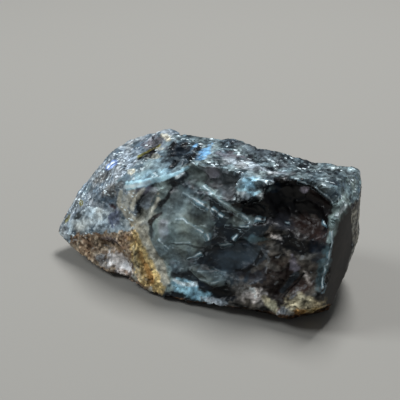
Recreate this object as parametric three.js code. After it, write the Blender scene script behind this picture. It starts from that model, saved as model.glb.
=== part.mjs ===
// A rough zircon crystal: one glassy, broken and partly weathered piece, lying on a flat fracture face.
// Millimetres, +Z up. The origin is on the resting surface, X runs along the crystal from the tapered
// left end to the blunt right end, -Y is the glassy broken side and +Y is the duller back.
//
// The stone is carved as nature does it: flat faces bound a block, ledges have split off it, hollows
// are shell-shaped (conchoidal) fractures and lumps are what stands proud. Each vertex of a geodesic
// ball is carried outwards from the stone's spine until it leaves that form, and the vertices next
// to an edge between two surfaces are then slid onto the edge, so that it stays sharp.
import * as THREE from "three";
import { ImprovedNoise } from "three/addons/math/ImprovedNoise.js";
import { mergeVertices } from "three/addons/utils/BufferGeometryUtils.js";

// Driving dimensions: the block is about 47 long, 21 deep and 21 high. Its faces, below, are placed by
// their distance from CENTRE, and everything cut into them or standing on them by its middle.
const CENTRE = new THREE.Vector3(-0.5, 0.5, 9.5);

// The ball has 20 * (DIVISIONS + 1)^2 triangles. A ray is marched out in steps, no further than
// FURTHEST, and its last step and each step over an edge are then halved so many times.
const DIVISIONS = 20;
const MARCH_STEP = 0.5;
const FURTHEST = 47;
const BISECTIONS = 20;
const EDGE_BISECTIONS = 10;

// The rays start on a spine inside the stone, whose ends they leave in a fan
const SPINE_MIDDLE = new THREE.Vector3(-1.5, 0, 8.6);
const SPINE_HALF = new THREE.Vector3(17, 0.8, 1.6);
const SPINE_FAN = 0.55;

// Unevenness: a slow swell of every face, a drift that takes hollows and lumps out of true, and the
// crust's lumps on the rough faces. Height in millimetres and length of a wave.
const SWELL = 0.2;
const SWELL_LENGTH = 14;
const DRIFT = 0.6;
const DRIFT_LENGTH = 9;
const CRUST_LENGTH = 3.4;

// How far the centre of a hollow's or a lump's ellipsoid lies off its face, in its own depth radius
const OFFSET = 0.4;

const noise = new ImprovedNoise();
const UP = new THREE.Vector3(0, 0, 1);

// Unit vector from an azimuth (from +X towards +Y) and a rise above the horizontal, in degrees
function heading(azimuth, rise) {
  const a = THREE.MathUtils.degToRad(azimuth);
  const e = THREE.MathUtils.degToRad(rise);
  return new THREE.Vector3(Math.cos(a) * Math.cos(e), Math.sin(a) * Math.cos(e), Math.sin(e));
}

// Faces of the block: azimuth and rise of the outward normal, distance from CENTRE, height of crust
const FACES = {
  front: [-90, 16, 6.3, 0.12],
  frontUnder: [-84.5, -48, 12.3, 0.35],
  rind: [-105, 13.5, 8.3, 0.45],
  rindRidge: [-99, 12, 7.7, 0.4],
  shoulder: [-142.5, 38.5, 13.5, 0.4],
  leftUpper: [-136.5, 61.5, 10.75, 0.3],
  top: [-100, 85.4, 10.6, 0.35],
  rightGlass: [-18, 5, 20.9, 0.03],
  rightShoulder: [-13, 27, 22.0, 0.25],
  rightStrip: [2, 4, 22.45, 0.2],
  rightUnder: [-2, -5, 22.1, 0.2],
  rightUnderBack: [6, -18, 21.6, 0.25],
  rightFoot: [0, -50, 19.9, 0.3],
  rightCorner: [-50, -40, 17.5, 0.4],
  rightBack: [60, -4, 16.8, 0.25],
  rightBackUpper: [46, 35, 20.8, 0.25],
  backUpper: [89.4, 42, 11.05, 0.2],
  back: [95, 3, 10.2, 0.15],
  backUnder: [86, -44, 11.6, 0.3],
  leftBackUpper: [120, 35, 15.05, 0.3],
  leftBack: [148, 22, 18.1, 0.3],
  leftBackLow: [148, 0, 19.7, 0.3],
  leftBackUnder: [155, -40, 19.8, 0.3],
  leftUnder: [-165, -75, 12.4, 0.35],
};

// Ledges: what lies beyond all of its planes has split off (azimuth, rise and distance of each)
const LEDGES = {
  backStep: [[86, 62, 6.4], [98, 4, 8.9], [14, 6, -8]],
  backStepLow: [[112, 58, 2.6], [90, 6, 9.5], [168, 20, 4]],
  rightBackStep: [[62, 38, 10.8], [56, 2, 15.8]],
  topStep: [[20, 12, 9.5], [-60, 82, 10.5], [100, 20, 1.5]],
};

// Hollows and lumps: the face they are in, their middle, the turn of their long axis in that face,
// and half their length, half their width and their depth or height
const HOLLOWS = {
  darkHollow: ["front", [14.4, -3.8, 17.1], -6, 5.6, 4.0, 3.0],
  darkHollowArm: ["front", [8.4, -4.3, 15.7], 8, 3.8, 2.0, 1.5],
  recess: ["front", [2.7, -3.3, 18.9], -4, 5.0, 2.8, 1.8],
  slateWindow: ["front", [6.5, -6.5, 8.0], 25, 4.8, 3.2, 1.0],
  brownWindow: ["front", [13.0, -5.6, 11.6], 4, 3.8, 2.1, 0.8],
  lowerWindow: ["front", [15.6, -6.8, 6.6], 40, 3.2, 1.9, 0.7],
  underLens: ["front", [4.0, -7.8, 3.0], 4, 3.4, 1.3, 0.7],
  slitField: ["front", [-7.6, -5.0, 13.4], 62, 3.6, 1.8, 0.8],
  edgeChipHigh: ["rightGlass", [20.4, -3.7, 17.4], 60, 2.0, 1.4, 0.6],
  edgeChipLow: ["rightGlass", [19.3, -6.2, 8.6], 80, 2.2, 1.2, 0.5],
  topPits: ["top", [-5.4, 1.2, 20.2], 30, 2.8, 1.7, 0.9],
  topGroove: ["leftUpper", [-11.0, 1.0, 18.6], 35, 2.6, 1.0, 0.7],
  cheek: ["rind", [-15.5, -5.2, 8.2], 20, 4.2, 2.2, 0.7],
  rindHollow: ["rind", [-13.4, -5.7, 3.6], -15, 3.6, 1.9, 0.7],
  backShell: ["back", [-9.5, 10.4, 6.5], 12, 5.6, 3.4, 1.1],
  backShellHigh: ["backUpper", [-4.0, 8.0, 16.8], -8, 4.6, 2.4, 0.9],
  backPit: ["backUpper", [13.0, 7.6, 16.6], 30, 2.8, 2.0, 0.8],
};
const LUMPS = {
  dome: ["front", [-2.2, -5.3, 11.8], 80, 6.2, 5.4, 0.9],
  blueKnob: ["front", [7.2, -3.6, 18.1], -30, 2.6, 1.7, 0.5],
  rindKnob: ["rind", [-8.6, -6.8, 4.6], -55, 4.2, 2.0, 0.6],
  cornerCrust: ["rightCorner", [15.6, -6.4, 2.4], 0, 3.4, 1.7, 0.6],
  flake: ["top", [2.5, 5.0, 20.6], -8, 2.6, 1.3, 0.5],
};

function halfSpace([azimuth, rise, distance]) {
  const normal = heading(azimuth, rise);
  const offset = distance + normal.dot(CENTRE);
  return (p) => normal.dot(p) - offset;
}

// An ellipsoid whose section with the face is the given oval; side is 1 for a hollow and -1 for a lump
function oval([face, middle, turn, halfLength, halfWidth, deep], side) {
  const out = heading(...FACES[face]);
  const along = new THREE.Vector3().crossVectors(UP, out).normalize();
  along.applyAxisAngle(out, THREE.MathUtils.degToRad(turn));
  const across = new THREE.Vector3().crossVectors(out, along);
  const thick = deep / (1 - OFFSET);
  const spread = Math.sqrt(1 - OFFSET ** 2);
  const centre = new THREE.Vector3(...middle).addScaledVector(out, side * OFFSET * thick);
  const reach = [halfLength / spread, halfWidth / spread, thick];
  const v = new THREE.Vector3();
  return (p) => {
    v.subVectors(p, centre);
    const off = Math.hypot(v.dot(along) / reach[0], v.dot(across) / reach[1], v.dot(out) / reach[2]);
    return (off - 1) * Math.min(...reach);
  };
}

// A slow wave in no one direction, from -1 to 1
function wave(p, wavelength, phase) {
  const k = (2 * Math.PI) / wavelength;
  const one = Math.sin(k * (0.8 * p.x + 0.5 * p.y - 0.3 * p.z) + phase);
  const two = Math.sin(k * (-0.6 * p.x + 0.7 * p.y + 0.9 * p.z) + 1.7 * phase);
  const three = Math.sin(k * (0.5 * p.x - 1.1 * p.y + 0.8 * p.z) + 2.9 * phase);
  return (one + two + three) / 3;
}

function drifted(p) {
  return new THREE.Vector3(
    p.x + DRIFT * wave(p, DRIFT_LENGTH, 1),
    p.y + DRIFT * wave(p, DRIFT_LENGTH, 2),
    p.z + DRIFT * wave(p, DRIFT_LENGTH, 3),
  );
}

// Every form is a function of a point: negative inside it, positive outside, in millimetres.
const blockForms = Object.values(FACES).map((face) => ({ form: halfSpace(face), crust: face[3] }));
const ledgeForms = Object.values(LEDGES).map((planes) => planes.map(halfSpace));
const hollowForms = Object.values(HOLLOWS).map((hollow) => oval(hollow, 1));
const lumpForms = Object.values(LUMPS).map((lump) => oval(lump, -1));

// How far outside the stone p lies, and which surface is the nearest one (a running number)
function carved(p) {
  const swell = SWELL * wave(p, SWELL_LENGTH, 0);
  const crust = noise.noise(p.x / CRUST_LENGTH, p.y / CRUST_LENGTH, p.z / CRUST_LENGTH);
  const q = drifted(p);
  let outside = -Infinity;
  let surface = 0;
  let number = 0;
  const take = (distance) => {
    number += 1;
    if (distance > outside) [outside, surface] = [distance, number];
  };
  blockForms.forEach((face) => take(face.form(p) + swell + face.crust * crust));
  ledgeForms.forEach((planes) => take(Math.min(...planes.map((plane) => plane(q))) + swell));
  hollowForms.forEach((hollow) => take(-hollow(q) + swell));
  lumpForms.forEach((lump) => {
    number += 1;
    const distance = lump(q) + swell;
    if (distance < outside) [outside, surface] = [distance, number];
  });
  take(-p.z);
  return { outside, surface };
}

// Where the ray for a direction leaves the stone. It starts on the spine, not at one centre, so that
// it meets the long sides squarely.
function strike(direction) {
  const start = SPINE_MIDDLE.clone().addScaledVector(SPINE_HALF, direction.x);
  const out = new THREE.Vector3(direction.x * SPINE_FAN, direction.y, direction.z).normalize();
  const at = (reach) => start.clone().addScaledVector(out, reach);
  let near = 0;
  let far = MARCH_STEP;
  while (far < FURTHEST && carved(at(far)).outside < 0) {
    near = far;
    far += MARCH_STEP;
  }
  for (let i = 0; i < BISECTIONS; i++) {
    const middle = (near + far) / 2;
    if (carved(at(middle)).outside < 0) near = middle;
    else far = middle;
  }
  return { point: at(far), surface: carved(at(far)).surface };
}

function geodesicBall() {
  const ball = new THREE.IcosahedronGeometry(1, DIVISIONS);
  ball.deleteAttribute("normal");
  ball.deleteAttribute("uv");
  return mergeVertices(ball, 1e-4);
}

function ballEdges(ball) {
  const index = ball.getIndex().array;
  const edges = [];
  for (let i = 0; i < index.length; i += 3) {
    for (const [a, b] of [[index[i], index[i + 1]], [index[i + 1], index[i + 2]], [index[i + 2], index[i]]]) {
      if (a < b) edges.push([a, b]);
    }
  }
  return edges;
}

// Where the line between two directions crosses from one surface to the next, as a share of the way
function crossing(from, to, surface) {
  let near = 0;
  let far = 1;
  for (let i = 0; i < EDGE_BISECTIONS; i++) {
    const middle = (near + far) / 2;
    const direction = from.clone().lerp(to, middle).normalize();
    if (strike(direction).surface === surface) near = middle;
    else far = middle;
  }
  return (near + far) / 2;
}

function crystalGeometry() {
  const ball = geodesicBall();
  const position = ball.getAttribute("position");
  const directions = [];
  for (let i = 0; i < position.count; i++) {
    directions.push(new THREE.Vector3().fromBufferAttribute(position, i).normalize());
  }
  const hits = directions.map(strike);

  // Each vertex beside an edge of the stone takes the nearest crossing, if that is its own half of the way
  const moves = new Map();
  for (const [a, b] of ballEdges(ball)) {
    if (hits[a].surface === hits[b].surface) continue;
    const share = crossing(directions[a], directions[b], hits[a].surface);
    const [mover, way] = share < 0.5 ? [a, share] : [b, 1 - share];
    if (moves.has(mover) && moves.get(mover).way <= way) continue;
    moves.set(mover, { way, direction: directions[a].clone().lerp(directions[b], share).normalize() });
  }
  moves.forEach(({ direction }, i) => { hits[i] = strike(direction); });

  hits.forEach(({ point }, i) => position.setXYZ(i, point.x, point.y, point.z));
  return ball;
}

const crystal = new THREE.Mesh(
  crystalGeometry(),
  new THREE.MeshStandardMaterial({ color: 0x4a4b4c, roughness: 0.3, metalness: 0 }),
);
crystal.name = "zircon_crystal";

const stone = new THREE.Group();
stone.add(crystal);
export default stone;
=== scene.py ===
"""A rough zircon crystal: the visible stone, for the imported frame.

The stone is made from the same forms as the solid in the frame: flat faces bound it, ledges have split
off, hollows are shell-shaped fractures and lumps stand proud. Here the mesh is far finer, so the small
fractures, the crust and the chipped edges are in it too. Sizes are in millimetres, with +Z up, the
origin on the resting surface, X along the crystal and -Y towards its glassy broken side.
"""
from math import cos, pi, radians, sin, sqrt

import bmesh
import bpy
import numpy as np
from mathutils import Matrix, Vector


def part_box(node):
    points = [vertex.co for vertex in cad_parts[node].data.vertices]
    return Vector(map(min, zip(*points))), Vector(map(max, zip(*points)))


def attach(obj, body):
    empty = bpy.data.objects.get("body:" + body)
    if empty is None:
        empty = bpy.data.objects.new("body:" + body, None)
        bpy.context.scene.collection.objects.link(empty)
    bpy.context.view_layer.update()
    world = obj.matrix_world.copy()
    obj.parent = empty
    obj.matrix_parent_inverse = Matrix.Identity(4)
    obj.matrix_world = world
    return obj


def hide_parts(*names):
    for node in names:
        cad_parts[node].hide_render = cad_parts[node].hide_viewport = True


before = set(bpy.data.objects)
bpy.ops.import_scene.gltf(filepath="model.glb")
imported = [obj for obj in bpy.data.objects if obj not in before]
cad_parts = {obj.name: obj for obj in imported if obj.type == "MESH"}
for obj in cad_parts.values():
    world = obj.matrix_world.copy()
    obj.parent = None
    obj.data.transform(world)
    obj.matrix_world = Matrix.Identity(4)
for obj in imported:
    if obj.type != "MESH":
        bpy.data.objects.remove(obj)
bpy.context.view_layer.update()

NODE = "zircon_crystal"
CAD_LENGTH = 47.21
low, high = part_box(NODE)
MM = (high[0] - low[0]) / CAD_LENGTH

# ---- main forms

CENTRE = np.array([-0.5, 0.5, 9.5])

# Rays from a spine inside the stone find its surface, and fan out by that much along the crystal
SPINE_MIDDLE = np.array([-1.5, 0.0, 8.6])
SPINE_HALF = np.array([17.0, 0.8, 1.6])
SPINE_FAN = 0.55

# Height and length of the low swell of all faces, and of the slow drift of ledges, hollows and lumps
SWELL = 0.2
SWELL_LENGTH = 14
DRIFT = 0.6
DRIFT_LENGTH = 9

# How far off its face the middle of an ellipsoid is, as a share of its radius that way
OFFSET = 0.4

# Ovals are measured up to CLOSE_BY, and what lies beyond counts as FAR
CLOSE_BY = 1.2
FAR = 60.0

# How far edges are rounded, and the noise that makes rims ragged: (size, height) of each octave
ROUND = 0.2
RAGGED = ((3.1, 0.5), (1.2, 0.22))

# Faces of the block: azimuth and rise of the outward normal, and distance from CENTRE
FACES = dict(
    front=(-90, 16, 6.3),
    frontUnder=(-84.5, -48, 12.3),
    rind=(-105, 13.5, 8.3),
    rindRidge=(-99, 12, 7.7),
    shoulder=(-142.5, 38.5, 13.5),
    leftUpper=(-136.5, 61.5, 10.75),
    top=(-100, 85.4, 10.6),
    rightGlass=(-18, 5, 20.9),
    rightShoulder=(-13, 27, 22),
    rightStrip=(2, 4, 22.45),
    rightUnder=(-2, -5, 22.1),
    rightUnderBack=(6, -18, 21.6),
    rightFoot=(0, -50, 19.9),
    rightCorner=(-50, -40, 17.5),
    rightBack=(60, -4, 16.8),
    rightBackUpper=(46, 35, 20.8),
    backUpper=(89.4, 42, 11.05),
    back=(95, 3, 10.2),
    backUnder=(86, -44, 11.6),
    leftBackUpper=(120, 35, 15.05),
    leftBack=(148, 22, 18.1),
    leftBackLow=(148, 0, 19.7),
    leftBackUnder=(155, -40, 19.8),
    leftUnder=(-165, -75, 12.4),
)

# Ledges: what lies beyond all the planes of one has split off
LEDGES = dict(
    backStep=((86, 62, 6.4), (98, 4, 8.9), (14, 6, -8)),
    backStepLow=((112, 58, 2.6), (90, 6, 9.5), (168, 20, 4)),
    rightBackStep=((62, 38, 10.8), (56, 2, 15.8)),
    topStep=((20, 12, 9.5), (-60, 82, 10.5), (100, 20, 1.5)),
)

# Hollows and lumps: face, middle, turn in that face, half length, half width, depth or height
HOLLOWS = dict(
    darkHollow=("front", (14.4, -3.8, 17.1), -6, 5.6, 4, 3),
    darkHollowArm=("front", (8.4, -4.3, 15.7), 8, 3.8, 2, 1.5),
    recess=("front", (2.7, -3.3, 18.9), -4, 5, 2.8, 1.8),
    slateWindow=("front", (6.5, -6.5, 8), 25, 4.8, 3.2, 1),
    brownWindow=("front", (13, -5.6, 11.6), 4, 3.8, 2.1, 0.8),
    lowerWindow=("front", (15.6, -6.8, 6.6), 40, 3.2, 1.9, 0.7),
    underLens=("front", (4, -7.8, 3), 4, 3.4, 1.3, 0.7),
    slitField=("front", (-7.6, -5, 13.4), 62, 3.6, 1.8, 0.8),
    edgeChipHigh=("rightGlass", (20.4, -3.7, 17.4), 60, 2, 1.4, 0.6),
    edgeChipLow=("rightGlass", (19.3, -6.2, 8.6), 80, 2.2, 1.2, 0.5),
    topPits=("top", (-5.4, 1.2, 20.2), 30, 2.8, 1.7, 0.9),
    topGroove=("leftUpper", (-11, 1, 18.6), 35, 2.6, 1, 0.7),
    cheek=("rind", (-15.5, -5.2, 8.2), 20, 4.2, 2.2, 0.7),
    rindHollow=("rind", (-13.4, -5.7, 3.6), -15, 3.6, 1.9, 0.7),
    backShell=("back", (-9.5, 10.4, 6.5), 12, 5.6, 3.4, 1.1),
    backShellHigh=("backUpper", (-4, 8, 16.8), -8, 4.6, 2.4, 0.9),
    backPit=("backUpper", (13, 7.6, 16.6), 30, 2.8, 2, 0.8),
)
LUMPS = dict(
    dome=("front", (-2.2, -5.3, 11.8), 80, 6.2, 5.4, 0.9),
    blueKnob=("front", (7.2, -3.6, 18.1), -30, 2.6, 1.7, 0.5),
    rindKnob=("rind", (-8.6, -6.8, 4.6), -55, 4.2, 2, 0.6),
    cornerCrust=("rightCorner", (15.6, -6.4, 2.4), 0, 3.4, 1.7, 0.6),
    flake=("top", (2.5, 5, 20.6), -8, 2.6, 1.3, 0.5),
)

# Small fractures and lumps that only the visible stone has
SMALL_HOLLOWS = dict(
    slitLeft=("front", (-9.2, -5, 13), 58, 1.4, 0.34, 0.3),
    slitRight=("front", (-7.2, -4.8, 14.1), 52, 1.7, 0.34, 0.4),
    slitUpper=("front", (-4.9, -4.3, 16.2), 48, 1.5, 0.35, 0.6),
    domeGap=("front", (-6, -5.6, 12.3), 70, 2.6, 0.45, 0.9),
    recessBumpLeft=("front", (0.2, -3.2, 19), 10, 1.5, 1.3, 0.5),
    recessBumpRight=("front", (4.4, -3.2, 18.8), -10, 1.6, 1.3, 0.5),
    pitLeft=("top", (-6.8, 2.2, 20.2), 90, 0.9, 0.45, 0.6),
    pitMiddle=("top", (-5.1, 2.6, 20.4), 10, 0.55, 0.45, 0.5),
    pitRight=("top", (-2.7, -0.4, 20.1), 100, 1.5, 0.35, 0.5),
    pitLow=("top", (-4.9, -1.6, 19.5), 90, 0.9, 0.5, 0.5),
    underRind=("frontUnder", (-9.5, -6.5, 0.1), 6, 7.5, 1.1, 1),
    underFront=("frontUnder", (4, -7.4, 0.1), 0, 7.5, 0.9, 0.8),
    lensGap=("front", (4.6, -8.2, 3.9), 0, 1.9, 0.6, 0.7),
)
SMALL_LUMPS = dict(
    lens=("front", (3.3, -7.5, 5.4), 4, 2.6, 0.8, 0.35),
    peakCrust=("top", (-9.2, 5.2, 20.1), 22, 2.3, 1.7, 0.8),
)

# ---- colours and skins

COLOURS = dict(
    ink="#050507", umber="#1c1412", coffee="#382a26", maroon="#3a2120", slate="#1a2026", steel="#4c5a64",
    navy="#15212e", smoke="#363d3f", mist="#78898e", sage="#8fa19f", ash="#3c3d43", silver="#a3abb1",
    ice="#b8e2f0", teal="#5c757b", taupe="#6e6a64", plum="#625a60", frost="#e4f2f6", sky="#a6d9ee",
    blue="#86a4e2", lilac="#8e8b98", violet="#69728c", bone="#bfbeb0", cream="#d0c5a4", tan="#cdbba2",
    bark="#6e5846", sienna="#80624a", ochre="#e0c488", amber="#b0834c", rose="#f4efec", olive="#6f6a38",
    azure="#78aedb",
)

# Skins: darkest and lightest colour, how granular, how many painted glints it carries, how its small facets
# lie, and the surfaces that it covers; what no skin names is black
SKINS = dict(
    glass=("slate", "smoke", 0.12, 0.1, "even", "front edgeChipLow backShell backShellHigh"),
    dome=("smoke", "sage", 0.12, 0.05, "even", "dome lens"),
    window=("slate", "steel", 0.05, 0.03, "even", "slateWindow"),
    brown=("ink", "taupe", 0.35, 0.04, "slanted", "brownWindow lowerWindow"),
    # Near black inside the dark hollow: painted shade under its overhanging rim
    dark=("ink", "umber", 0.05, 0, "even", "darkHollow darkHollowArm"),
    smoky=("umber", "silver", 0.15, 0.05, "even", "recess recessBumpLeft recessBumpRight"),
    black=("ink", "slate", 0.1, 0, "even", "underLens topPits"),
    grain=("slate", "mist", 0.85, 1, "level", "top rightBackUpper backUpper backStep topStep backPit flake"),
    shoulder=("steel", "silver", 0.6, 0.75, "even", "shoulder leftBackUpper peakCrust"),
    facet=("steel", "mist", 0.4, 0.3, "level", "leftUpper"),
    frosted=("steel", "frost", 0.4, 0.5, "slanted", "cheek"),
    pale=("steel", "frost", 0.5, 0.6, "slanted", "blueKnob"),
    ridge=("smoke", "bone", 0.35, 0.05, "slanted", "rindRidge slitField topGroove"),
    rind=("bark", "tan", 1, 0.12, "even",
        "rind leftBackLow leftBackUnder leftUnder rindHollow rindKnob bottom"),
    # The undersides run from ink up to sienna crust: partly their crust, partly painted shade under the stone
    under=("ink", "sienna", 0.9, 0.05, "even",
        "frontUnder rightFoot rightCorner backUnder cornerCrust underRind underFront"),
    strip=("ash", "bone", 0.6, 0.15, "even", "rightStrip rightUnder rightUnderBack"),
    greenish=("steel", "sage", 0.6, 0.7, "level", "rightShoulder edgeChipHigh"),
    # The glassy right end is near black: partly its dark glass, partly painted shade on this down-facing face
    rightGlass=("ink", "umber", 0, 0, "even", "rightGlass"),
    back=("smoke", "silver", 0.6, 0.3, "even", "rightBack back leftBack backStepLow rightBackStep"),
)


def rows_on(face, **rows):
    """Named rows of a table, with their face in front of each."""
    return [(face, *row) for row in rows.values()]


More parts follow.
